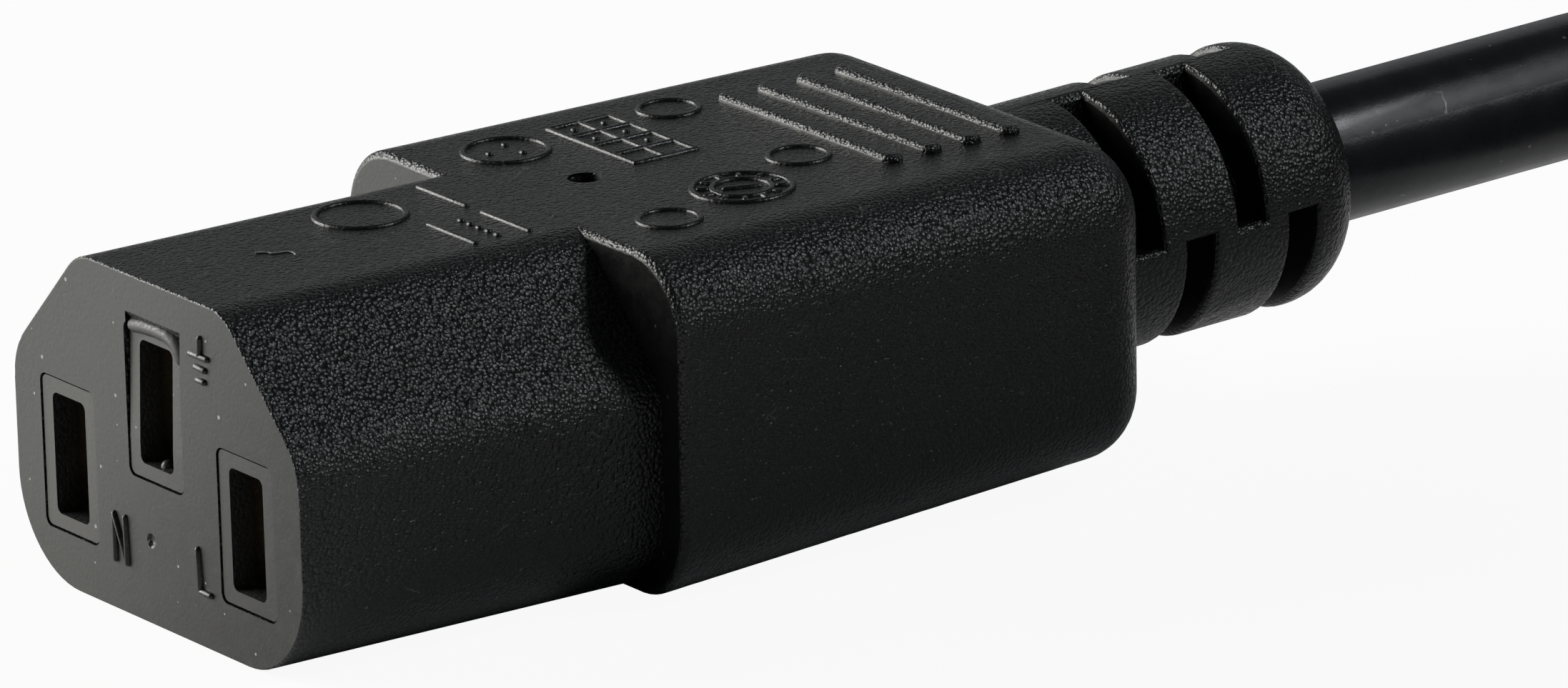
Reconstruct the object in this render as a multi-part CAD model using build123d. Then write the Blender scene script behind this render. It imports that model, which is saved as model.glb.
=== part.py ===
from build123d import *

import math
import os

# C13 power connector moulded on a three core lead, with the lead's C14 plug. Millimetres.
# The mating face lies in the plane y = 0 and looks towards -Y, and the lead leaves towards +Y.
# The origin is midway between the line and neutral slots, and +Z is the earth side.

# Contact layout of the mating face
contact_pitch = 14.0
earth_rise = 4.0

# Keyed nose that enters the inlet
nose_width = 22.6
nose_top = 9.6
nose_bottom = -5.95
nose_length = 18.5
nose_seat = 0.45
key_cut = 5.55
key_top_round = 2.6
key_side_round = 3.2
nose_low_round = 4.6
face_edge_round = 0.1

# Grip behind the shoulder: it stands proud of the nose by a hair, and its floor rises towards the cord
grip_width = 26.0
grip_length = 25.9
grip_narrowing = 0.8
grip_proud = 0.03
grip_top_rise = 0.25
grip_floor_rise = 1.3
grip_lean = 0.35
grip_top_round = 3.4
grip_low_round = 3.6
grip_rear_round = 2.6
shoulder_round = 0.35

# Grip ribs and the hole left by the mould's core pin
rib_count = 4
rib_pitch = 2.1
rib_length = 13.3
rib_width = 1.05
rib_height = 0.35
rib_round = 0.3
rib_first = 15.94
pin_hole_diameter = 1.55
pin_hole_side = -0.65
pin_hole_back = 4.45

# Dimple of an ejector in the mating face
dimple_place = (-0.63, -2.13)
dimple_radius = 0.45
dimple_depth = 0.15

# Slotted strain relief round the cord, bent up a little with it
cord_diameter = 6.5
cord_axis_rise = 2.57
cord_pitch = 2.35
sheath_hold = 0.4
relief_diameter = 12.1
relief_length = 16.4
relief_lip = 0.15
relief_slots = 4
relief_slot_width = 1.47
relief_slot_pitch = 2.83
relief_first_slot = 3.3
relief_slot_floor = 8.0
relief_spine = 0.3

# Rigid insert with one sleeve round each contact
slot_width = 2.6
slot_height = 5.5
mouth_depth = 1.2
sleeve_width = 4.15
sleeve_height = 6.8
sleeve_round = 0.35
sleeve_gap = 0.09
sleeve_gap_depth = 0.8
sleeve_recess = 0.07
earth_sink = 0.22
earth_lip_rise = 0.65
earth_lip_side = 0.35
earth_lip_depth = 0.32
flash_radius = 0.3
chamber_width = 3.1
chamber_height = 5.9
chamber_round = 0.12
plate_width = 21.0
plate_height = 12.4
plate_round = 2.0
plate_front = 20.6
plate_thickness = 4.8

# Folded contacts
sheet = 0.4
contact_clearance = 0.05
contact_front = 2.0
contact_pinch = 5.0
contact_bend = 9.0
contact_back = 18.5
pinch_gap = 1.7
neck_diameter = 2.4
neck_end = 28.0

# Cores and their copper
core_diameter = 2.1
conductor_diameter = 1.2
conductor_seat = 1.2
conductor_grip = 4.0
core_gap = 0.4
core_straight = 2.4
core_gather = 3.0
bundle_radius = 1.25

# Lead from the connector to the coil, points chosen by hand
lead_straight = 19.5
lead_bends = [(0.0, 83.5, 3.9), (-3.4, 99.0, 0.2)]
lead_end = (-5.8, 112.0, -1.4)

# Coil and its strap
coil_centre = (30.0, 109.0)
coil_mean_diameter = 66.0
coil_columns = 2
coil_layers = 4
strap_width = 10.0
strap_thickness = 0.9
strap_bearing = 235.0

# Tail from the coil to the plug, points chosen by hand
tail_start = (-4.5, 98.6, 17.1)
tail_bends = [
    (-4.5, 120.0, 17.9),
    (8.5, 137.9, 20.6),
    (29.5, 144.7, 23.9),
    (50.5, 137.9, 27.3),
    (63.5, 120.0, 31.02),
]

# C14 plug at the far end, lying on the coil
plug_side = 63.5
plug_front = 54.0
mating_gap = 0.5
shroud_wall = 1.8
recess_depth = 17.0
shroud_length = 21.0
plug_plate_thickness = 4.0
plug_grip_width = 25.2
plug_grip_inset = 0.9
plug_grip_length = 17.0
plug_sheath_hold = 6.0
plug_axis_rise = 1.85
pin_width = 2.0
pin_height = 4.0
pin_tip = 1.6
pin_edge = 0.4
pin_round = 0.5
plug_neck_length = 5.0

overlap = 2.0
tiny = 0.001

grip_end = nose_length + grip_length
floor_level = nose_bottom - grip_proud
cord_radius = cord_diameter / 2
cord_frame = Pos(0, grip_end, cord_axis_rise) * Rot(cord_pitch, 0, 0)
sheath_seat = cord_frame * Pos(0, -sheath_hold, 0)
contact_places = {
    "line": (contact_pitch / 2, 0.0),
    "neutral": (-contact_pitch / 2, 0.0),
    "earth": (0.0, earth_rise),
}
bundle_bearings = {"line": -30.0, "neutral": 210.0, "earth": 90.0}


def section(y):
    """The front view plane at y: its own axes are X and Z."""
    return Plane(origin=(0, y, 0), x_dir=(1, 0, 0), z_dir=(0, -1, 0))


def run_back(sketch, start, length):
    """A front view sketch carried from y = start towards the lead."""
    return extrude(section(start) * sketch, amount=length, dir=(0, 1, 0))


def rod(diameter, start, end, x=0.0, z=0.0):
    return run_back(Pos(x, z) * Circle(diameter / 2), start, end - start)


def rounded_at(outline, level, radius):
    """The outline with its sharp corners at this height rounded."""
    corners = outline.vertices().filter_by_position(Axis.Y, level - tiny, level + tiny)
    return fillet(corners, radius)


def keyed_outline():
    """Section of the nose: two upper corners cut off as the key, all corners rounded."""
    half = nose_width / 2
    points = [
        (-half, nose_bottom),
        (half, nose_bottom),
        (half, nose_top - key_cut),
        (half - key_cut, nose_top),
        (-half + key_cut, nose_top),
        (-half, nose_top - key_cut),
    ]
    outline = make_face(Polyline(*points, close=True))
    outline = rounded_at(outline, nose_top, key_top_round)
    outline = rounded_at(outline, nose_top - key_cut, key_side_round)
    return rounded_at(outline, nose_bottom, nose_low_round)


def grip_block(front, length, width, top, floor, top_rise, floor_rise):
    """A grip that narrows towards the cord, with leaning sides and rounded edges."""

    def outline(half, upper, lower):
        points = [(-half + grip_lean, lower), (half - grip_lean, lower), (half, upper), (-half, upper)]
        return make_face(Polyline(*points, close=True))

    def long_edges(solid):
        return solid.edges().filter_by(lambda edge: abs((edge @ 1 - edge @ 0).Y) > length / 2).sort_by(Axis.Z)

    first = section(front) * outline(width / 2, top, floor)
    last = section(front + length) * outline(width / 2 - grip_narrowing, top + top_rise, floor + floor_rise)
    block = loft([first, last], ruled=True)
    block = fillet(long_edges(block)[-2:], grip_top_round)
    block = fillet(long_edges(block)[:2], grip_low_round)
    block = fillet(block.faces().sort_by(Axis.Y)[-1].edges(), grip_rear_round)
    return fillet(block.faces().sort_by(Axis.Y)[0].edges(), shoulder_round)


def strain_relief():
    """Barrel along its own Y axis with quarter ring slots, opposite quarters at the same station."""
    radius = relief_diameter / 2
    barrel = rod(relief_diameter, -overlap, relief_length)
    rim = barrel.edges().filter_by(GeomType.CIRCLE).sort_by(Axis.Y)[-1]
    barrel = fillet(rim, radius - cord_radius - relief_lip)
    ring = Circle(radius + overlap) - Circle(relief_slot_floor / 2)
    quarter = radius + overlap
    for number in range(relief_slots):
        station = relief_first_slot + number * relief_slot_pitch
        for side in (1, -1):
            rise = side if number % 2 == 0 else -side
            corner = Pos(side * (relief_spine + quarter / 2), rise * quarter / 2) * Rectangle(quarter, quarter)
            barrel -= run_back(ring & corner, station, relief_slot_width)
    return barrel


def grip_top(back):
    """Height of the grip's upper surface at this distance behind the shoulder."""
    return nose_top + grip_proud + grip_top_rise * back / grip_length


def grip_ribs():
    """Round ended bars across the top of the grip."""
    ribs = []
    for number in range(rib_count):
        bar = extrude(SlotOverall(rib_length, rib_width), amount=rib_height + overlap)
        bar = fillet(bar.faces().sort_by(Axis.Z)[-1].edges(), rib_round)
        back = rib_first + number * rib_pitch
        ribs.append(Pos(0, nose_length + back, grip_top(back) - overlap) * bar)
    return ribs


def earth_lip():
    """The sunk rim of the earth pocket: it opens upwards and to the right, and closes towards its foot."""
    x, z = contact_places["earth"]
    inside = sleeve_width / 2 - sleeve_gap
    head = sleeve_height / 2 - sleeve_gap
    foot = -sleeve_height / 4
    pocket = [(-inside, foot), (inside, foot), (inside, head), (-inside, head)]
    corner = (sleeve_width / 2 + earth_lip_side, sleeve_height / 2 + earth_lip_rise)
    mouth = [(-inside, foot), (inside, foot), corner, (-inside, corner[1])]
    front = section(-sleeve_gap) * Pos(x, z) * make_face(Polyline(*mouth, close=True))
    back = section(earth_lip_depth) * Pos(x, z) * make_face(Polyline(*pocket, close=True))
    return loft([front, back], ruled=True)


def eased_radii(points):
    """The largest even bends of a route: each takes 0.45 of its shorter run."""
    radii = []
    for before, here, after in zip(points, points[1:], points[2:]):
        first = Vector(here) - Vector(before)
        second = Vector(after) - Vector(here)
        half_turn = math.radians(first.get_angle(second)) / 2
        radii.append(0.45 * min(first.length, second.length) / math.tan(half_turn))
    return radii


def tube(points, diameter):
    """A round cord along straight runs and tangent arcs."""
    path = FilletPolyline(*points, radius=eased_radii(points))
    start = Plane(origin=path @ 0, z_dir=path % 0)
    return sweep(start * Circle(diameter / 2), path=path)


def sleeve_boxes(width, height, radius, start, end):
    """One rectangular prism round each contact."""
    outline = RectangleRounded(width, height, radius)
    return [run_back(Pos(*place) * outline, start, end - start) for place in contact_places.values()]


def carrier_block():
    """Outside of the insert: sleeves in front of a plate."""
    middle = (nose_top + nose_bottom) / 2
    plate = run_back(Pos(0, middle) * RectangleRounded(plate_width, plate_height, plate_round),
                     plate_front, plate_thickness)
    block = plate
    for sleeve in sleeve_boxes(sleeve_width, sleeve_height, sleeve_round, sleeve_recess, plate_front + overlap):
        block += sleeve
    return block


def earth_sleeve_slant():
    """What the earth sleeve lacks at its front: its upper end lies deeper than its foot."""
    x, z = contact_places["earth"]
    foot = z - sleeve_height / 2
    head = z + sleeve_height / 2
    deep = sleeve_recess + earth_sink
    points = [(0, foot), (deep, head), (deep, head + sleeve_gap), (-sleeve_gap, head + sleeve_gap),
              (-sleeve_gap, foot)]
    wedge = make_face(Polyline(*points, close=True))
    return extrude(Plane.YZ.offset(x) * wedge, amount=sleeve_width / 2 + sleeve_gap, both=True)


def contact_carrier():
    """The insert with its slots at the face and the wider chambers behind them."""
    carrier = carrier_block()
    plate_back = plate_front + plate_thickness
    for mouth in sleeve_boxes(slot_width, slot_height, sleeve_round, 0, mouth_depth + overlap):
        carrier -= mouth
    for chamber in sleeve_boxes(chamber_width, chamber_height, chamber_round, mouth_depth, plate_back):
        carrier -= chamber
    carrier -= earth_sleeve_slant()
    x, z = contact_places["earth"]
    return carrier + Pos(x, mouth_depth / 2, z - slot_height / 2) * Sphere(flash_radius)


def neck(start, end, x, z):
    """Rolled neck, hollow at its end for the conductor."""
    hollow = rod(conductor_diameter, end - conductor_grip, end, x, z)
    return rod(neck_diameter, start, end, x, z) - hollow


def socket_contact(x, z):
    """A sheet folded like a hairpin, pinched near its mouth, on a rolled neck."""
    half = chamber_width / 2 - contact_clearance
    pinch = pinch_gap / 2
    outside = [(half, contact_back), (half, contact_bend), (pinch + sheet, contact_pinch), (half, contact_front)]
    inside = [(half - sheet, contact_front), (pinch, contact_pinch), (half - sheet, contact_bend),
              (half - sheet, contact_back - sheet)]
    right = outside + inside
    left = [(-across, back) for across, back in reversed(right)]
    fold = make_face(Polyline(*right, *left, close=True))
    jaws = extrude(fold, amount=chamber_height / 2 - contact_clearance, both=True)
    return Pos(x, 0, z) * jaws + neck(contact_back - sheet, neck_end, x, z)


def wiring(name, neck_back, seat):
    """Copper end and insulated core of one contact, from its neck to the stripped sheath at seat."""
    x, z = contact_places[name]
    start = neck_back + core_gap
    bearing = math.radians(bundle_bearings[name])
    across = bundle_radius * math.cos(bearing)
    up = bundle_radius * math.sin(bearing)
    route = [
        Vector(x, start, z),
        Vector(x, start + core_straight, z),
        (seat * Pos(across, -core_gather, up)).position,
        (seat * Pos(across, 0, up)).position,
    ]
    copper = rod(conductor_diameter, neck_back - conductor_grip, start + conductor_seat, x, z)
    core = tube(route, core_diameter) - copper
    return copper, core


def connector():
    """Every piece of the connector, by name."""
    pieces = {"contact_carrier": contact_carrier()}
    housing = run_back(keyed_outline(), 0, nose_length + nose_seat)
    housing = fillet(housing.faces().sort_by(Axis.Y)[0].edges(), face_edge_round)
    housing += grip_block(nose_length, grip_length, grip_width, nose_top + grip_proud, floor_level,
                          grip_top_rise, grip_floor_rise)
    housing += cord_frame * strain_relief()
    housing += grip_ribs()
    plate_top = (nose_top + nose_bottom + plate_height) / 2
    hole_depth = grip_top(pin_hole_back) + overlap - plate_top
    hole = Cylinder(pin_hole_diameter / 2, hole_depth, align=(Align.CENTER, Align.CENTER, Align.MIN))
    housing -= Pos(pin_hole_side, nose_length + pin_hole_back, plate_top) * hole
    housing -= carrier_block()
    gap = 2 * sleeve_gap
    for groove in sleeve_boxes(sleeve_width + gap, sleeve_height + gap, sleeve_round + sleeve_gap, 0, sleeve_gap_depth):
        housing -= groove
    housing -= earth_lip()
    dimple = dimple_radius - dimple_depth
    housing -= Pos(dimple_place[0], -dimple, dimple_place[1]) * Sphere(dimple_radius)
    housing -= cord_frame * rod(cord_diameter, -sheath_hold, relief_length + overlap)
    for name, (x, z) in contact_places.items():
        copper, core = wiring(name, neck_end, sheath_seat)
        pieces[name + "_contact"] = socket_contact(x, z)
        pieces[name + "_core"] = core
        pieces[name + "_conductor"] = copper
        housing -= rod(neck_diameter, plate_front, neck_end, x, z)
        housing -= core + copper
    pieces["connector_housing"] = housing
    return pieces


def blade_pin(x, z, neck_back):
    """Flat pin with eased tip edges on a rolled neck."""
    outline = RectangleRounded(pin_width, pin_height, pin_round)
    blade_back = recess_depth + plug_plate_thickness
    blade = run_back(Pos(x, z) * outline, pin_tip, blade_back - pin_tip)
    blade = chamfer(blade.faces().sort_by(Axis.Y)[0].edges(), pin_edge)
    return blade + neck(blade_back - tiny, neck_back, x, z)


def plug():
    """Every piece of the plug in its own frame, laid out as the connector is."""
    outline = keyed_outline()
    recess = offset(outline, mating_gap)
    rim = mating_gap + shroud_wall
    grip_front = shroud_length - overlap
    grip_back = grip_front + plug_grip_length
    relief_frame = Pos(0, grip_back, plug_axis_rise)
    seat = relief_frame * Pos(0, plug_sheath_hold, 0)
    neck_back = recess_depth + plug_plate_thickness + plug_neck_length
    carrier = run_back(recess, recess_depth, plug_plate_thickness)
    housing = run_back(offset(outline, rim), 0, shroud_length)
    housing = fillet(housing.faces().sort_by(Axis.Y)[-1].edges(), rim / 2)
    housing = fillet(housing.faces().sort_by(Axis.Y)[0].edges(), shoulder_round)
    housing += grip_block(grip_front, plug_grip_length, plug_grip_width, nose_top + rim - plug_grip_inset,
                          nose_bottom - rim + plug_grip_inset, 0, 0)
    housing += relief_frame * strain_relief()
    housing -= run_back(recess, 0, recess_depth + plug_plate_thickness)
    housing -= relief_frame * rod(cord_diameter, plug_sheath_hold, relief_length + overlap)
    pieces = {}
    for name, (x, z) in contact_places.items():
        pin = blade_pin(x, z, neck_back)
        copper, core = wiring(name, neck_back, seat)
        carrier -= pin
        housing -= pin
        housing -= core + copper
        pieces[f"plug_{name}_pin"] = pin
        pieces[f"plug_{name}_core"] = core
        pieces[f"plug_{name}_conductor"] = copper
    pieces["plug_pin_carrier"] = carrier
    pieces["plug_housing"] = housing
    place = Pos(plug_side, plug_front, coil_top() - (nose_bottom - rim))
    return {name: place * piece for name, piece in pieces.items()}, (place * seat).position


def coil_bottom():
    return floor_level + strap_thickness


def coil_top():
    return coil_bottom() + coil_layers * cord_diameter


def coil_ring(growth):
    """Front view section of the wound turns, grown all round."""
    wide = coil_columns * cord_diameter + 2 * growth
    high = coil_layers * cord_diameter + 2 * growth
    middle = (coil_bottom() + coil_top()) / 2
    outline = RectangleRounded(wide, high, cord_radius - tiny + growth)
    return section(coil_centre[1]) * Pos(coil_centre[0] + coil_mean_diameter / 2, middle) * outline


def cord():
    """The lead, the wound length, its strap and the tail to the plug."""
    upright = Axis((*coil_centre, 0), (0, 0, 1))
    lead_points = [sheath_seat.position, (cord_frame * Pos(0, lead_straight, 0)).position, *lead_bends, lead_end]
    lead = tube(lead_points, cord_diameter)
    plug_pieces, plug_end = plug()
    tail_points = [tail_start, *tail_bends, plug_end]
    tail = tube(tail_points, cord_diameter)
    print("lead radii", [round(radius, 1) for radius in eased_radii(lead_points)])
    print("tail radii", [round(radius, 1) for radius in eased_radii(tail_points)])
    sweep_angle = math.degrees(2 * strap_width / coil_mean_diameter)
    band = revolve(coil_ring(strap_thickness) - coil_ring(0), axis=upright, revolution_arc=sweep_angle)
    coil = revolve(coil_ring(0), axis=upright) - lead - tail
    pieces = {
        "cord_lead": lead,
        "cord_coil": coil,
        "cord_strap": band.rotate(upright, strap_bearing),
        "cord_tail": tail,
    }
    return pieces | plug_pieces


os.makedirs("parts", exist_ok=True)
for node, solid in (connector() | cord()).items():
    export_step(solid, f"parts/{node}.step")
    print(node, round(solid.volume, 1))
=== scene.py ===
# %% [markdown]
# # C13 power connector on its lead
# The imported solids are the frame: they already have the right size, shape and place, in metres. This file
# gives them their finishes, adds what is too fine for the solids, and lays the cord as one smooth curve.
# The mating face lies at y = 0 and looks towards -Y, +Z is the earth side, and the lead leaves towards +Y.

# %% Frame
import math

import bmesh
import bpy
from mathutils import Matrix, Vector


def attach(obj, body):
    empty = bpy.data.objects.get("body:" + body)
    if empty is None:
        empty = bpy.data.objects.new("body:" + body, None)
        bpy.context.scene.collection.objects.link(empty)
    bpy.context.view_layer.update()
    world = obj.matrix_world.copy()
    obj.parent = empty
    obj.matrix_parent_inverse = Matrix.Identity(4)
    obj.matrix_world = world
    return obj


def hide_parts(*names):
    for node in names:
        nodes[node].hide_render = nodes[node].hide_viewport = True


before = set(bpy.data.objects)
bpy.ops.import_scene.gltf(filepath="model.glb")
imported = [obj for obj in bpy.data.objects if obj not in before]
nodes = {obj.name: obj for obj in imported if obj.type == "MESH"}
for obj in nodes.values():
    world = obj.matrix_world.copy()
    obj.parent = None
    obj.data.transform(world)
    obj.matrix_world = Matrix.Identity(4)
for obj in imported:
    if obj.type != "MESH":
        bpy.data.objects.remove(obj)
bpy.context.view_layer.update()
MM = 0.001
FLOOR = -5.98 * MM

# %% [markdown]
# ## Camera
# A product shot like this is taken with a long lens from some distance, so that parallel edges stay nearly
# parallel. The three axes and the place were solved from the standard 14 mm pitch of the two outer slots and
# from the long edges of the nose. Writing the axes as the columns of a matrix avoids guessing at angles.

# %% Camera
camera_right = Vector((0.573333, 0.818838, -0.028174))
camera_up = Vector((-0.226770, 0.191635, 0.954909))
camera_back = Vector((0.787314, -0.541092, 0.295559))
camera_place = Vector((0.506431, -0.315316, 0.190398))
camera_data = bpy.data.cameras.new("photo_camera")
camera_data.sensor_width = 36.0
camera_data.lens = 335.88
camera_data.clip_start = 0.01
camera_data.clip_end = 100.0
camera = bpy.data.objects.new("photo_camera", camera_data)
bpy.context.collection.objects.link(camera)
turn = Matrix((camera_right, camera_up, camera_back)).transposed().to_4x4()
camera.matrix_world = Matrix.Translation(camera_place) @ turn
bpy.context.scene.camera = camera
print("camera", tuple(round(value, 4) for value in camera_place))

# %% [markdown]
# ## Helpers for node trees
# Shader trees are long when every link is its own line. `add` makes a node, sets its inputs and links what is
# another node's output, so that a tree reads like a sum. All patterns use object coordinates in millimetres,
# because moulded grain and dust don't follow any unwrapping.

# %% Node helpers


def feed(tree, socket, value):
    """Links another node's output, or sets a plain value."""
    if isinstance(value, bpy.types.NodeSocket):
        tree.links.new(value, socket)
    else:
        socket.default_value = value


def add(tree, kind, inputs=(), **settings):
    """Makes a node with its settings, and feeds its inputs."""
    node = tree.nodes.new(kind)
    for key, value in settings.items():
        setattr(node, key, value)
    for key, value in dict(inputs).items():
        feed(tree, node.inputs[key], value)
    return node


def maths(tree, operation, first, second=0.0, third=0.0):
    return add(tree, "ShaderNodeMath", {0: first, 1: second, 2: third}, operation=operation).outputs[0]


def vectors(tree, operation, first, second=(0.0, 0.0, 0.0)):
    return add(tree, "ShaderNodeVectorMath", {0: first, 1: second}, operation=operation)


def ramp(tree, value, low, high, to_low=0.0, to_high=1.0):
    """A soft step of value between low and high."""
    inputs = {"Value": value, "From Min": low, "From Max": high, "To Min": to_low, "To Max": to_high}
    return add(tree, "ShaderNodeMapRange", inputs, interpolation_type="SMOOTHSTEP").outputs[0]


def blend_colour(tree, factor, first, second):
    node = add(tree, "ShaderNodeMix", (), data_type="RGBA")
    sockets = {socket.identifier: socket for socket in node.inputs}
    feed(tree, sockets["Factor_Float"], factor)
    feed(tree, sockets["A_Color"], first)
    feed(tree, sockets["B_Color"], second)
    return next(socket for socket in node.outputs if socket.identifier == "Result_Color")


def grey(value, tint=(1.0, 1.0, 1.0)):
    return (value * tint[0], value * tint[1], value * tint[2], 1.0)


def noise(tree, place, scale, detail=2.0, rough=0.5):
    inputs = {"Vector": place, "Scale": scale, "Detail": detail, "Roughness": rough}
    return add(tree, "ShaderNodeTexNoise", inputs).outputs[0]


def new_material(name, **values):
    """A principled material. What is the same all over goes straight to the shader's sockets."""
    material = bpy.data.materials.new(name)
    material.use_nodes = True
    tree = material.node_tree
    shader = tree.nodes["Principled BSDF"]
    for key, value in values.items():
        shader.inputs[key.replace("_", " ")].default_value = value
    return material, tree, shader


def millimetres(tree):
    """The place on the object, in millimetres."""
    place = add(tree, "ShaderNodeTexCoord").outputs["Object"]
    return add(tree, "ShaderNodeVectorMath", {0: place, "Scale": 1000.0}, operation="SCALE").outputs[0]


def raise_surface(tree, shader, height_in_mm):
    """Gives the shader a fine relief."""
    bump = add(tree, "ShaderNodeBump", {"Height": height_in_mm, "Distance": MM, "Strength": 1.0})
    tree.links.new(bump.outputs[0], shader.inputs["Normal"])


def dress(material, *names):
    """Gives solids their only material."""
    for name in names:
        mesh = nodes[name].data
        mesh.materials.clear()
        mesh.materials.append(material)


print("helpers ready")

# %% [markdown]
# ## Effects that several finishes share
# An effect used by more than one material is a node group, so it is built once. Spark grain is the leathery
# skin that an eroded mould leaves: smooth cells about 0.3 mm wide with finer crumbs on them. Dust is sparse
# pale specks of many sizes, and fibres are short pale hairs. Each group takes a place in millimetres and
# gives masks or a height, which every material mixes in its own measure.

# %% Group helpers
FLOAT = "NodeSocketFloat"
VECTOR = "NodeSocketVector"


def new_group(name, inputs, outputs):
    """An empty node group, with the sockets that bring its inputs and take its outputs."""
    group = bpy.data.node_groups.new(name, "ShaderNodeTree")
    for key, kind in inputs:
        group.interface.new_socket(key, in_out="INPUT", socket_type=kind)
    for key, kind in outputs:
        group.interface.new_socket(key, in_out="OUTPUT", socket_type=kind)
    return group, group.nodes.new("NodeGroupInput").outputs, group.nodes.new("NodeGroupOutput").inputs


def place_group(tree, group, inputs):
    """Places a node group in a material and gives its outputs."""
    return add(tree, "ShaderNodeGroup", inputs, node_tree=group).outputs


print("sockets", FLOAT, VECTOR)

# %% Spark grain
cells_per_mm = 5.2
crumbs_per_mm = 5.6
clouds_per_mm = 0.25
dome_share = -1.4
spark_grain, given, result = new_group(
    "spark_grain", [("Place", VECTOR)], [("Height", FLOAT), ("Peaks", FLOAT), ("Cloud", FLOAT)])
cells = add(spark_grain, "ShaderNodeTexVoronoi", {"Vector": given["Place"], "Scale": cells_per_mm})
dome = maths(spark_grain, "MULTIPLY", cells.outputs["Distance"], cells.outputs["Distance"])
crumbs = noise(spark_grain, given["Place"], crumbs_per_mm, 3.0, 0.6)
rise = maths(spark_grain, "MULTIPLY_ADD", dome, dome_share, crumbs)
broad = noise(spark_grain, given["Place"], clouds_per_mm, 3.0)
feed(spark_grain, result["Height"], rise)
feed(spark_grain, result["Peaks"], ramp(spark_grain, rise, 0.0, 0.5))
feed(spark_grain, result["Cloud"], ramp(spark_grain, broad, 0.3, 0.7))
print("group", spark_grain.name)

# %% Dust
specks_per_mm = 1.35
largest_speck = 0.13
hairs_per_mm = 0.9
hair_thickness = 0.008
hair_turn = (0.5, 0.25, 0.4)
hair_stretch = (0.7, 0.12, 0.7)
dust, given, result = new_group("dust", [("Place", VECTOR)], [("Specks", FLOAT), ("Fibres", FLOAT)])
spots = add(dust, "ShaderNodeTexVoronoi", {"Vector": given["Place"], "Scale": specks_per_mm})
lot = add(dust, "ShaderNodeSeparateColor", {0: spots.outputs["Color"]}).outputs
spot_radius = ramp(dust, lot[0], 0.45, 1.05, 0.0, largest_speck)
feed(dust, result["Specks"], maths(dust, "LESS_THAN", spots.outputs["Distance"], spot_radius))
sway = add(dust, "ShaderNodeTexNoise", {"Vector": given["Place"], "Scale": 0.8}).outputs["Color"]
bent = vectors(dust, "ADD", given["Place"], sway).outputs[0]
lie = {"Vector": bent, "Rotation": hair_turn, "Scale": hair_stretch}
lain = add(dust, "ShaderNodeMapping", lie).outputs[0]
hairs = add(dust, "ShaderNodeTexVoronoi", {"Vector": lain, "Scale": hairs_per_mm}, feature="DISTANCE_TO_EDGE")
thin = maths(dust, "LESS_THAN", hairs.outputs["Distance"], hair_thickness)
rare = ramp(dust, noise(dust, given["Place"], 0.5, 1.0), 0.66, 0.7)
feed(dust, result["Fibres"], maths(dust, "MULTIPLY", thin, rare))
print("group", dust.name)

# %% [markdown]
# ## Soft black moulding
# The housing is soft PVC shot round the insert. Its mould was spark eroded, so it has grain, but the flat
# faces that look forward were polished: they are smooth and carry most of the dust. The normal tells these
# faces apart, which needs no second material slot. Their grey bloom is painted sheen: a lighter base colour
# that lies only on the mating face and on the left shoulder, where the key lamp falls, and fades towards the
# lower right.

# %% Moulding recipe
# Tint of the painted sheen, and the span over which it dims from the upper left to the lower right.
painted_sheen_tint = (1.0, 1.0, 0.94)
painted_sheen_fades = (-13.0, 9.0)
face_depth = 1.0
dust_grey = 0.45
polish_depth = 0.004
polished_facing = (-0.9, -0.99)


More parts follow.
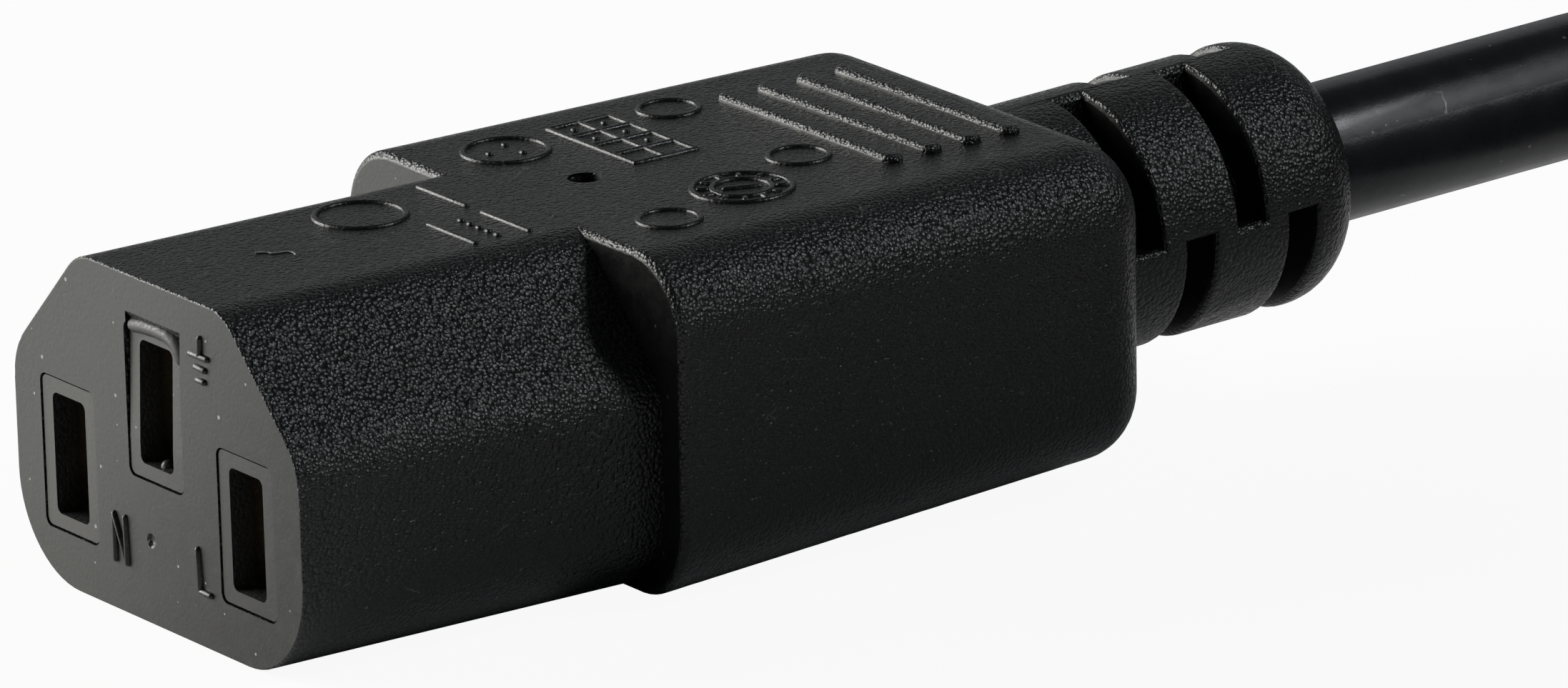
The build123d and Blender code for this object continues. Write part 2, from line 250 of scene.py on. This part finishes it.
def moulding(name, black, bloom, grain_depth, grain_rough, smooth_rough):
    """A black moulding: base tone, bloom (a painted sheen on the lit polished faces), depth of the grain,
    roughness of both skins.
    """
    material, tree, shader = new_material(name, IOR=1.5)
    place = millimetres(tree)
    grain = place_group(tree, spark_grain, {"Place": place})
    specks = place_group(tree, dust, {"Place": place})
    across, deep, up = add(tree, "ShaderNodeSeparateXYZ", {0: place}).outputs
    facing = add(tree, "ShaderNodeSeparateXYZ", {0: add(tree, "ShaderNodeNewGeometry").outputs["Normal"]})
    smooth = ramp(tree, facing.outputs["Y"], *polished_facing)
    mottle = noise(tree, place, 1.3, 4.0, 0.6)
    skin = blend_colour(tree, grain["Cloud"], grey(black * 0.8), grey(black * 1.2))
    skin = blend_colour(tree, maths(tree, "MULTIPLY", grain["Peaks"], 0.5), skin, grey(black * 2.2))
    # Painted sheen: a grey that is brightest at the upper left and dims towards the lower right as the key
    # lamp's light does, with a faint random mottle.
    leftward = maths(tree, "MULTIPLY", across, -1.0)
    painted_sheen_falloff = ramp(tree, maths(tree, "MULTIPLY_ADD", up, 0.6, leftward), *painted_sheen_fades)
    painted_sheen = blend_colour(tree, painted_sheen_falloff, grey(bloom * 0.4, painted_sheen_tint), grey(bloom * 1.7, painted_sheen_tint))
    painted_sheen = blend_colour(tree, maths(tree, "MULTIPLY", mottle, 0.4), painted_sheen, grey(bloom * 0.6, painted_sheen_tint))
    # The painted sheen lies only on polished faces near the mating face and on the left shoulder, which the
    # key lamp lights; the right shoulder in the nose's shade stays plain black.
    front = maths(tree, "LESS_THAN", deep, face_depth)
    left = maths(tree, "LESS_THAN", across, 0.0)
    sheen_and_dust_faces = maths(tree, "MULTIPLY", smooth, maths(tree, "MAXIMUM", front, left))
    colour = blend_colour(tree, sheen_and_dust_faces, skin, painted_sheen)
    dirt = maths(tree, "MULTIPLY", specks["Specks"], ramp(tree, sheen_and_dust_faces, 0.0, 1.0, 0.12, 0.75))
    dirt = maths(tree, "MAXIMUM", dirt, maths(tree, "MULTIPLY", specks["Fibres"], 0.1))
    feed(tree, shader.inputs["Base Color"], blend_colour(tree, dirt, colour, grey(dust_grey)))
    rough = ramp(tree, grain["Peaks"], 0.0, 1.0, grain_rough + 0.1, grain_rough - 0.06)
    polished = ramp(tree, mottle, 0.3, 0.7, smooth_rough - 0.05, smooth_rough + 0.06)
    mixed = add(tree, "ShaderNodeMix", {0: smooth, 2: rough, 3: polished})
    feed(tree, shader.inputs["Roughness"], mixed.outputs[0])
    depth = ramp(tree, smooth, 0.0, 1.0, grain_depth, polish_depth)
    raise_surface(tree, shader, maths(tree, "MULTIPLY", grain["Height"], depth))
    return material


print("recipe", moulding.__name__)

# %% Mouldings
soft_black = moulding("soft_black", black=0.003, bloom=0.048,
                      grain_depth=0.048, grain_rough=0.27, smooth_rough=0.36)
mark_black = moulding("mark_black", black=0.003, bloom=0.048,
                      grain_depth=0.012, grain_rough=0.3, smooth_rough=0.36)
sign_black = moulding("sign_black", black=0.003, bloom=0.048,
                      grain_depth=0.004, grain_rough=0.3, smooth_rough=0.36)
# The lip's base tone is ten times the housing's: a painted highlight on the same black moulding.
lip_painted_highlight = moulding("lip_painted_highlight", black=0.03, bloom=0.05,
                     grain_depth=0.006, grain_rough=0.48, smooth_rough=0.48)
plug_black = moulding("plug_black", black=0.004, bloom=0.02,
                      grain_depth=0.045, grain_rough=0.3, smooth_rough=0.4)
insert_black = moulding("insert_black", black=0.01, bloom=0.06,
                        grain_depth=0.02, grain_rough=0.42, smooth_rough=0.42)
dress(soft_black, "connector_housing")
dress(plug_black, "plug_housing")
dress(insert_black, "contact_carrier", "plug_pin_carrier")
mouldings = (soft_black, mark_black, sign_black, lip_painted_highlight, plug_black, insert_black)
print("mouldings", [material.name for material in mouldings])

# %% [markdown]
# ## Rims of the relief's slots
# The slots of the strain relief have rounded rims, which glint along the top. The solid has plain edges
# there, and a bevel modifier rounds them without moving the mesh's own points. All it needs is a weight on
# the right edges: the sharp ones on the outside of the relief. They are found on a joined copy, because the
# patches of a solid's mesh lie apart and meet at no common edge.

# %% Slot rims
joining_distance = 0.0001 * MM
rim_angle = math.radians(60)
relief_start = Vector((0.0, 44.4, 2.57)) * MM
relief_pitch = math.radians(2.35)
relief_way = Vector((0.0, math.cos(relief_pitch), math.sin(relief_pitch)))
relief_reach = (2.0 * MM, 15.4 * MM)
relief_skin = 5.85 * MM
housing_mesh = nodes["connector_housing"].data


def on_relief(point):
    """True for a point on the outside of the strain relief, between its root and its rounded end."""
    along = (point - relief_start).dot(relief_way)
    beside = (point - relief_start - relief_way * along).length
    return relief_reach[0] < along < relief_reach[1] and beside > relief_skin


def edge_key(points):
    """The two ends of an edge in rounded millimetres, in any order, so that split edges compare as one."""
    return frozenset(tuple(round(value / MM, 4) for value in point) for point in points)


joined = bmesh.new()
joined.from_mesh(housing_mesh)
bmesh.ops.remove_doubles(joined, verts=joined.verts, dist=joining_distance)
rims = set()
for edge in joined.edges:
    ends = [corner.co for corner in edge.verts]
    if edge.is_manifold and edge.calc_face_angle() > rim_angle and all(on_relief(end) for end in ends):
        rims.add(edge_key(ends))
joined.free()
rim_weight = housing_mesh.attributes.new("bevel_weight_edge", "FLOAT", "EDGE")
for edge in housing_mesh.edges:
    ends = [housing_mesh.vertices[corner].co for corner in edge.vertices]
    rim_weight.data[edge.index].value = float(edge_key(ends) in rims)
print("rim edges", len(rims))

# %% [markdown]
# ## Even shading of the mouldings
# Where a rounding ends at a corner, one slanted normal of the mesh draws a line on a flat side. Modifiers
# cure that too: a weld joins the patches, the bevel rounds the rims, an edge split parts the faces again at
# true creases, and weighted normals keep the flat faces flat beside their roundings.

# %% Even shading
rim_round = 0.3 * MM
rim_segments = 3
crease_angle = math.radians(28)
for name in ("connector_housing", "plug_housing"):
    nodes[name].modifiers.new("joined_patches", "WELD").merge_threshold = joining_distance
    if name == "connector_housing":
        rounding = nodes[name].modifiers.new("slot_rims", "BEVEL")
        rounding.limit_method = "WEIGHT"
        rounding.width = rim_round
        rounding.segments = rim_segments
        rounding.use_clamp_overlap = False
    crease = nodes[name].modifiers.new("creases", "EDGE_SPLIT")
    crease.split_angle = crease_angle
    crease.use_edge_sharp = False
    even = nodes[name].modifiers.new("even_normals", "WEIGHTED_NORMAL")
    even.keep_sharp = True
    print(name, [modifier.name for modifier in nodes[name].modifiers])

# %% [markdown]
# ## Mould marks
# Such a grip carries raised marks from inserts in the mould. Here they are generic: a date dial with a tick
# for each month, a ring with cavity dots, a framed date grid, plain rings and bars. Each is a low round bar
# along a line, built as a closed strip of sections whose ends shrink to a dome, and all of them are one piece
# that stands on the housing.

# %% Bars along a line
mark_half_width = 0.15
mark_rise = 0.13
arch_steps = 6
foot_depth = 0.45
dome_angles = (8, 30, 60)
nose_length, nose_top = 18.5, 9.6
grip_length, grip_front_top, grip_climb = 25.9, 9.63, 0.25
arch_turns = [math.pi * step / arch_steps for step in range(arch_steps + 1)]
arch = [(math.cos(bearing), math.sin(bearing)) for bearing in arch_turns]
arch += [(-1.0, -foot_depth), (1.0, -foot_depth)]


def grip_top(y):
    """Height of the top surface: the nose is level, the grip rises slightly towards the cord."""
    return nose_top if y < nose_length else grip_front_top + grip_climb * (y - nose_length) / grip_length


def on_top(x, y, lift):
    """A point of the top surface, lifted."""
    return x * MM, y * MM, (grip_top(y) + lift) * MM


def raised_line(mesh, points, closed=False, half_width=mark_half_width, rise=mark_rise, lay=on_top):
    """A low arched bar along points of a surface, in millimetres."""
    stations = [(Vector(point), 1.0) for point in points]
    if not closed:
        first_run = (stations[1][0] - stations[0][0]).normalized() * half_width
        last_run = (stations[-1][0] - stations[-2][0]).normalized() * half_width
        turns = [math.radians(angle) for angle in dome_angles]
        front = [(stations[0][0] - first_run * math.cos(turn), math.sin(turn)) for turn in turns]
        back = [(stations[-1][0] + last_run * math.cos(turn), math.sin(turn)) for turn in reversed(turns)]
        stations = front + stations + back
    count = len(stations)
    rows = []
    for number, (spot, scale) in enumerate(stations):
        before = stations[number - 1 if closed else max(number - 1, 0)][0]
        after = stations[(number + 1) % count if closed else min(number + 1, count - 1)][0]
        run = (after - before).normalized()
        across = Vector((run.y, -run.x)) * half_width * scale
        row = []
        for side, height in arch:
            lift = height * rise * (scale if height > 0 else 1.0)
            row.append(mesh.verts.new(lay(*(spot + across * side), lift)))
        rows.append(row)
    pairs = list(zip(rows, rows[1:] + rows[:1])) if closed else list(zip(rows, rows[1:]))
    for near, far in pairs:
        for corner in range(len(arch)):
            following = (corner + 1) % len(arch)
            mesh.faces.new((near[corner], near[following], far[following], far[corner]))
    if not closed:
        mesh.faces.new(rows[0])
        mesh.faces.new(reversed(rows[-1]))


def moulded_piece(name, mesh, material):
    """Makes an object of the soft moulding from raised lines."""
    bmesh.ops.recalc_face_normals(mesh, faces=mesh.faces)
    data = bpy.data.meshes.new(name)
    mesh.to_mesh(data)
    mesh.free()
    for face in data.polygons:
        face.use_smooth = True
    data.materials.append(material)
    piece = bpy.data.objects.new(name, data)
    bpy.context.collection.objects.link(piece)
    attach(piece, "root")
    print(name, len(data.polygons), "faces")


print("arch points", len(arch))

# %% Shapes of the marks
ring_steps = 48
dot_half_length = 0.06
arrow_bearing = 1.2
first_cavity_bearing = 0.5
grid_columns = 4
dotted_fields = [(0, 1), (1, 1), (2, 1), (0, -1), (1, -1)]


def ring(mesh, x, y, radius):
    bearings = [2 * math.pi * step / ring_steps for step in range(ring_steps)]
    points = [(x + radius * math.cos(bearing), y + radius * math.sin(bearing)) for bearing in bearings]
    raised_line(mesh, points, closed=True)


def spoke(mesh, x, y, bearing, inner, outer):
    way = Vector((math.cos(bearing), math.sin(bearing)))
    raised_line(mesh, [Vector((x, y)) + way * inner, Vector((x, y)) + way * outer])


def dot(mesh, x, y):
    raised_line(mesh, [(x - dot_half_length, y), (x + dot_half_length, y)])


def date_dial(mesh, x, y, radius):
    """Two rings, a tick between them for each month, and an arrow in the middle."""
    ring(mesh, x, y, radius)
    ring(mesh, x, y, radius * 0.6)
    for month in range(12):
        spoke(mesh, x, y, math.pi * month / 6, radius * 0.72, radius * 0.86)
    spoke(mesh, x, y, arrow_bearing, -radius * 0.35, radius * 0.35)


def cavity_ring(mesh, x, y, radius):
    """A ring with three dots, the number of the cavity."""
    ring(mesh, x, y, radius)
    for place in range(3):
        bearing = 2 * math.pi * place / 3 + first_cavity_bearing
        dot(mesh, x + radius * 0.45 * math.cos(bearing), y + radius * 0.45 * math.sin(bearing))


def date_grid(mesh, x, y, wide, deep):
    """A frame of two rows and four columns, with dots in some of its fields."""
    for row in (-0.5, 0.0, 0.5):
        raised_line(mesh, [(x - wide / 2, y + row * deep), (x + wide / 2, y + row * deep)])
    for column in range(grid_columns + 1):
        across = x + (column / grid_columns - 0.5) * wide
        raised_line(mesh, [(across, y - deep / 2), (across, y + deep / 2)])
    for column, row in dotted_fields:
        dot(mesh, x + ((column + 0.5) / grid_columns - 0.5) * wide, y + row * deep / 4)


print("ring points", ring_steps)

# %% Marks on the grip and nose
small_ring = 1.35
small_ring_places = [(6.9, 22.2), (-6.8, 31.6), (2.9, 31.8)]
nose_bars = [(-4.3, -0.6, 16.7), (0.7, 4.3, 16.7), (0.7, 4.3, 13.9)]
nose_dots, first_dot, dot_pitch, dot_row = 5, 1.1, 0.7, 15.3
marks = bmesh.new()
date_dial(marks, x=5.2, y=27.2, radius=2.2)
cavity_ring(marks, x=-6.3, y=22.6, radius=1.9)
date_grid(marks, x=-4.3, y=27.4, wide=6.8, deep=3.2)
for x, y in small_ring_places:
    ring(marks, x, y, small_ring)
ring(marks, x=-2.4, y=12.4, radius=2.0)
for start, end, y in nose_bars:
    raised_line(marks, [(start, y), (end, y)])
for number in range(nose_dots):
    dot(marks, first_dot + dot_pitch * number, dot_row)
moulded_piece("mould_marks", marks, mark_black)

# %% [markdown]
# ## Lip over the earth sleeve
# The soft moulding has crept over the top of the earth sleeve in a small roll, which catches the light. It is
# the same arched bar as a mark, laid on the sunk front of the sleeve instead of on the grip. Its black is ten
# times lighter than the housing's, a painted highlight that makes the roll read brighter.

# %% Earth lip
lip_half_width = 0.33
lip_rise = 0.31
sleeve_front = 0.3
lip_points = [(-1.72, 7.26), (-1.0, 7.34), (0.0, 7.40), (0.8, 7.38), (1.4, 7.24), (1.8, 6.98), (2.02, 6.6)]


def on_sleeve(x, z, lift):
    """A point of the earth sleeve's front, lifted towards the inlet."""
    return x * MM, (sleeve_front - lift) * MM, z * MM


lip = bmesh.new()
raised_line(lip, lip_points, half_width=lip_half_width, rise=lip_rise, lay=on_sleeve)
moulded_piece("earth_lip", lip, lip_painted_highlight)

# %% [markdown]
# ## Signs of the contacts
# N, L and the earth sign stand on the mating face as half round ribs. A rib is dark on the flank that looks
# away from the lamp, and only a level rib mirrors the lamp along its upper flank. Real ribs show both without
# any painted shade, so they are the arched bars again, laid on the face.

# %% Contact signs
sign_half_width = 0.15
sign_rise = 0.2
neutral_sign = [((-3.48, -1.585), (-3.48, -3.625)), ((-3.48, -1.585), (-2.53, -3.605)),
                ((-2.53, -3.605), (-2.61, -1.565))]
line_sign = [((3.15, -1.565), (3.27, -3.41)), ((3.27, -3.41), (4.07, -3.43))]
earth_sign = [((3.97, 8.04), (3.93, 7.23)), ((3.19, 7.22), (4.51, 7.23)),
              ((3.58, 6.72), (4.29, 6.68)), ((3.70, 6.15), (4.21, 6.14))]


def on_face(x, z, lift):
    """A point of the mating face, lifted towards the inlet."""
    return x * MM, -lift * MM, z * MM


signs = bmesh.new()
for ends in neutral_sign + line_sign + earth_sign:
    raised_line(signs, ends, half_width=sign_half_width, rise=sign_rise, lay=on_face)
moulded_piece("contact_signs", signs, sign_black)

# %% [markdown]
# ## Cord
# The sheath is extruded, so it is smoother than the mouldings, with a faint waver and a bluish black. The
# lead is one spline: straight out of the strain relief, down to the floor, eight wound turns beside and on
# each other, and back over the coil into the plug that lies on it. The turns are worked out by a loop.

# %% Cord sheath
sheath_tint = (0.9, 0.96, 1.2)
sheath_dust = grey(0.4)
sheath, tree, shader = new_material("cord_sheath", IOR=1.46)
place = millimetres(tree)
waver = noise(tree, place, 0.5, 3.0)
fine = noise(tree, place, 9.0)
specks = place_group(tree, dust, {"Place": place})
tone = blend_colour(tree, waver, grey(0.006, sheath_tint), grey(0.011, sheath_tint))
tone = blend_colour(tree, maths(tree, "MULTIPLY", specks["Specks"], 0.25), tone, sheath_dust)
tone = blend_colour(tree, maths(tree, "MULTIPLY", specks["Fibres"], 0.3), tone, sheath_dust)
feed(tree, shader.inputs["Base Color"], tone)
feed(tree, shader.inputs["Roughness"], ramp(tree, waver, 0.3, 0.7, 0.24, 0.31))
wavy = maths(tree, "MULTIPLY_ADD", waver, 0.03, maths(tree, "MULTIPLY", fine, 0.006))
raise_surface(tree, shader, wavy)
print("sheath", sheath.name)

# %% Cord route
sheath_thick = 6.5
cord_diameter = sheath_thick * MM
lead = [(0, 44, 2.55), (0, 63.88, 3.37), (0, 89.5, 4.3), (-3.8, 101, 0.2), (-6.6, 110.5, -1.6)]
tail = [(-4.5, 98.6, 17.1), (-4.5, 120, 17.9), (8.5, 137.9, 20.6), (29.5, 144.7, 23.9), (50.5, 137.9, 27.3),
        (63.5, 120, 31.02), (63.5, 96, 31.02)]
coil_centre = Vector((30.0, 109.0))
inner_radius = 29.75
outer_radius = inner_radius + sheath_thick
first_level = -1.83
layers = 4
steps = 16
crossing = 0.7
turns = []
for layer in range(layers):
    radii = (inner_radius, outer_radius) if layer % 2 else (outer_radius, inner_radius)
    turns += [(radius, first_level + sheath_thick * layer) for radius in radii]
wound = []
for number, (radius, level) in enumerate(turns):
    next_radius, next_level = turns[min(number + 1, len(turns) - 1)]
    first_step = 1 if number == 0 else 0
    last_step = steps - 1 if number == len(turns) - 1 else steps
    for step in range(first_step, last_step):
        part = step / steps
        ease = max((part - crossing) / (1 - crossing), 0.0)
        ease = ease * ease * (3 - 2 * ease)
        reach = (radius + (next_radius - radius) * ease) / math.cos(math.pi / steps)
        bearing = math.pi * (1 - 2 * part)
        spot = coil_centre + reach * Vector((math.cos(bearing), math.sin(bearing)))
        wound.append((spot.x, spot.y, level + (next_level - level) * ease))
route = lead + wound + tail
print("route points", len(route))

# %% Cord curve
line = bpy.data.curves.new("cord", "CURVE")
line.dimensions = "3D"
line.bevel_depth = cord_diameter / 2
line.bevel_resolution = 10
line.use_fill_caps = True
spline = line.splines.new("NURBS")
spline.points.add(len(route) - 1)
for point, (x, y, z) in zip(spline.points, route):
    point.co = (x * MM, y * MM, z * MM, 1.0)
spline.order_u = 3
spline.use_endpoint_u = True
spline.resolution_u = 6
line.materials.append(sheath)
cord = bpy.data.objects.new("cord", line)
bpy.context.collection.objects.link(cord)
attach(cord, "root")
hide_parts("cord_lead", "cord_coil", "cord_tail")

# %% [markdown]
# ## Strap
# A hook and loop strap holds the coil. Its outside is a close pile of small loops over a weave, which a fine
# noise on a crossed wave shows well enough at this size, without a single loop being modelled.

# %% Strap
pile_depth = 0.25
strap, tree, shader = new_material("strap_pile", Sheen_Weight=0.4, Sheen_Roughness=0.6)
place = millimetres(tree)
pile = noise(tree, place, 3.5, 3.0, 0.7)
yarn = {"Vector": place, "Scale": 0.9, "Distortion": 1.5}
warp = add(tree, "ShaderNodeTexWave", yarn, bands_direction="Z").outputs[1]
weft = add(tree, "ShaderNodeTexWave", yarn, bands_direction="X").outputs[1]
loops = maths(tree, "ADD", pile, maths(tree, "MULTIPLY", maths(tree, "ADD", warp, weft), 0.25))
tone = blend_colour(tree, ramp(tree, loops, 0.4, 1.1), grey(0.006), grey(0.035))
feed(tree, shader.inputs["Base Color"], tone)
feed(tree, shader.inputs["Roughness"], ramp(tree, pile, 0.3, 0.7, 0.75, 0.95))
raise_surface(tree, shader, maths(tree, "MULTIPLY", loops, pile_depth))
dress(strap, "cord_strap")
print("strap", strap.name)

# %% [markdown]
# ## Metal inside
# The contacts are folded brass, dulled by the press; the plug's pins are nickel plated with fine drawing
# lines along them; the conductors are bare copper strands twisted together. Lines along Y come from a noise
# squeezed across and stretched along.

# %% Contacts, pins and conductors


def metal(name, bright, dull, rough, stretch, depth):
    """A metal with tarnish from bright to dull, and lines that stretch and are so many millimetres deep."""
    material, tree, shader = new_material(name, Metallic=1.0)
    place = millimetres(tree)
    drawn = add(tree, "ShaderNodeMapping", {"Vector": place, "Scale": stretch}).outputs[0]
    lines = noise(tree, drawn, 6.0, 3.0)
    tarnish = noise(tree, place, 0.6, 4.0, 0.6)
    colour = blend_colour(tree, ramp(tree, tarnish, 0.35, 0.75), bright, dull)
    feed(tree, shader.inputs["Base Color"], colour)
    feed(tree, shader.inputs["Roughness"], ramp(tree, lines, 0.3, 0.7, rough - 0.08, rough + 0.12))
    raise_surface(tree, shader, maths(tree, "MULTIPLY", lines, depth))
    return material


brass = metal("contact_brass", bright=(0.66, 0.47, 0.18, 1.0), dull=(0.42, 0.29, 0.12, 1.0),
              rough=0.34, stretch=(1.0, 0.12, 1.0), depth=0.006)
nickel = metal("plated_pin", bright=(0.68, 0.66, 0.62, 1.0), dull=(0.52, 0.50, 0.46, 1.0),
               rough=0.24, stretch=(1.0, 0.06, 1.0), depth=0.004)
copper = metal("copper_strands", bright=(0.80, 0.40, 0.24, 1.0), dull=(0.55, 0.26, 0.16, 1.0),
               rough=0.36, stretch=(1.0, 0.1, 1.0), depth=0.05)
poles = ("line", "neutral", "earth")
dress(brass, *[f"{pole}_contact" for pole in poles])
dress(nickel, *[f"plug_{pole}_pin" for pole in poles])
dress(copper, *[f"{end}{pole}_conductor" for pole in poles for end in ("", "plug_")])
print("metals", brass.name, nickel.name, copper.name)

# %% [markdown]
# ## Core insulation
# Inside the sheath the three cores are coloured PVC with a talc bloom: brown for line, blue for neutral and
# green with a yellow stripe for earth. The stripe is a wave across the core, sharpened by a ramp.

# %% Cores


def insulation(name, colour, stripe=None):
    """Coloured insulation with a talc bloom, and a second colour in stripes where one is given."""
    material, tree, shader = new_material(name)
    place = millimetres(tree)
    bloom = noise(tree, place, 1.8, 4.0, 0.65)
    paint = colour
    if stripe:
        wave = {"Vector": place, "Scale": 0.12}
        bands = add(tree, "ShaderNodeTexWave", wave, bands_direction="X").outputs[1]
        paint = blend_colour(tree, ramp(tree, bands, 0.45, 0.55), colour, stripe)
    paint = blend_colour(tree, ramp(tree, bloom, 0.5, 0.9, 0.0, 0.25), paint, grey(0.7))
    feed(tree, shader.inputs["Base Color"], paint)
    feed(tree, shader.inputs["Roughness"], ramp(tree, bloom, 0.3, 0.7, 0.38, 0.55))
    raise_surface(tree, shader, maths(tree, "MULTIPLY", bloom, 0.01))
    return material


core_colours = {
    "line": insulation("line_insulation", (0.12, 0.045, 0.018, 1.0)),
    "neutral": insulation("neutral_insulation", (0.02, 0.09, 0.42, 1.0)),
    "earth": insulation("earth_insulation", (0.03, 0.22, 0.05, 1.0), (0.75, 0.6, 0.05, 1.0)),
}
for name, material in core_colours.items():
    dress(material, f"{name}_core", f"plug_{name}_core")
print("cores", list(core_colours))

# %% [markdown]
# ## Lint
# One pale fibre lies on the nose, as it does on the real piece. A thin bevelled curve is the plain way to
# make a hair: it keeps its round section where it turns.

# %% Lint fibre
fibre_diameter = 0.07
fibre_points = [(-0.58, 5.83), (-0.36, 6.32), (0.01, 6.27), (0.12, 7.28), (0.82, 6.97)]
hair = bpy.data.curves.new("lint_fibre", "CURVE")
hair.dimensions = "3D"
hair.bevel_depth = fibre_diameter / 2 * MM
hair.bevel_resolution = 2
hair.use_fill_caps = True
strand = hair.splines.new("NURBS")
strand.points.add(len(fibre_points) - 1)
for point, (x, y) in zip(strand.points, fibre_points):
    point.co = (x * MM, y * MM, (grip_top(y) + fibre_diameter / 2) * MM, 1.0)
strand.order_u = 3
strand.use_endpoint_u = True
fluff, tree, shader = new_material("lint", Roughness=0.9)
shade = noise(tree, millimetres(tree), 3.0)
feed(tree, shader.inputs["Base Color"], blend_colour(tree, shade, grey(0.12), grey(0.4)))
hair.materials.append(fluff)
lint = bpy.data.objects.new("lint_fibre", hair)
bpy.context.collection.objects.link(lint)
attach(lint, "root")
print("lint points", len(fibre_points))

# %% [markdown]
# ## Floor and surround
# The piece lies on a white table. The floor is pale, and nearly white to the camera, so that little more than
# the soft shadow under the piece is left of it. A black object is drawn by what it mirrors, so the surround
# is dim and cool for everything but the camera, and the lamps draw the shape.

# %% Floor
floor_reach = 30.0
white_share = 0.93
pale, tree, shader = new_material("pale_floor", Roughness=0.9)
shader.inputs["Base Color"].default_value = grey(0.8)
path = add(tree, "ShaderNodeLightPath").outputs["Is Camera Ray"]
white = add(tree, "ShaderNodeEmission", {"Color": grey(1.0), "Strength": 1.0})
whitened = maths(tree, "MULTIPLY", path, white_share)
seen = add(tree, "ShaderNodeMixShader", {0: whitened, 1: shader.outputs[0], 2: white.outputs[0]})
feed(tree, tree.nodes["Material Output"].inputs["Surface"], seen.outputs[0])
floor_mesh = bpy.data.meshes.new("floor")
corners = [(x * floor_reach, y * floor_reach, FLOOR) for x, y in ((-1, -1), (1, -1), (1, 1), (-1, 1))]
floor_mesh.from_pydata(corners, [], [(0, 1, 2, 3)])
floor_mesh.materials.append(pale)
floor = bpy.data.objects.new("floor", floor_mesh)
bpy.context.collection.objects.link(floor)
print("floor at", FLOOR)

# %% Surround
surround_glow = 0.05
surround_tint = (0.8, 0.9, 1.0)
world = bpy.data.worlds.new("surround")
bpy.context.scene.world = world
world.use_nodes = True
tree = world.node_tree
background = tree.nodes["Background"]
path = add(tree, "ShaderNodeLightPath").outputs["Is Camera Ray"]
feed(tree, background.inputs["Color"], blend_colour(tree, path, grey(1.0, surround_tint), grey(1.0)))
feed(tree, background.inputs["Strength"], ramp(tree, path, 0.0, 1.0, surround_glow, 1.0))
print("surround", world.name)

# %% [markdown]
# ## Lamps
# A large soft lamp stands low at the front left. It lights the forward faces and the front of each rib, and
# leaves the right side in its own shade. A tall strip lamp above and behind at the right makes the grain
# sparkle along the rounded edges and draws the bright stripe on the cord. The coil lies close beside the
# lead and would put that stripe in shade, so only the other solids stand in this lamp's way. A dim panel at
# the back left lifts the top a little.

# %% Lamp maker
lamp_aim = Vector((0.0, 0.03, 0.0))
lamp_distance = 0.9


def lamp(name, way, upward, wide, tall, watts, tint=(1.0, 1.0, 1.0)):
    """An area lamp in the direction way from the connector, aimed at it, its tall side near to upward."""
    from_aim = Vector(way).normalized()
    side = Vector(upward).cross(from_aim).normalized()
    axes = Matrix((side, from_aim.cross(side), from_aim)).transposed().to_4x4()
    data = bpy.data.lights.new(name, "AREA")
    data.shape = "ELLIPSE"
    data.size = wide
    data.size_y = tall
    data.energy = watts
    data.color = tint
    made = bpy.data.objects.new(name, data)
    bpy.context.collection.objects.link(made)
    made.matrix_world = Matrix.Translation(lamp_aim + from_aim * lamp_distance) @ axes
    made.visible_camera = False
    return made


print("lamps aim at", tuple(lamp_aim))

# %% Lamps
lamp("key_front_left", way=(-0.787, -0.56, 0.3), upward=(0, 0, 1),
     wide=0.85, tall=0.85, watts=15.0, tint=(1.0, 0.99, 0.96))
edge_lamp = lamp("edge_above_back", way=(0.5, 0.55, 0.64), upward=(-0.77, 0, 0.63),
                 wide=0.14, tall=0.5, watts=2.6, tint=(0.95, 0.98, 1.0))
in_its_way = bpy.data.collections.new("in_the_edge_lamps_way")
for name in nodes:
    if not name.startswith("cord_"):
        in_its_way.objects.link(nodes[name])
edge_lamp.light_linking.blocker_collection = in_its_way
lamp("panel_back_left", way=(-0.787, 0.541, 0.35), upward=(0, 0, 1), wide=0.9, tall=0.5, watts=0.3)
bpy.context.scene.view_settings.view_transform = "Standard"
print("lamps", [light.name for light in bpy.data.lights])
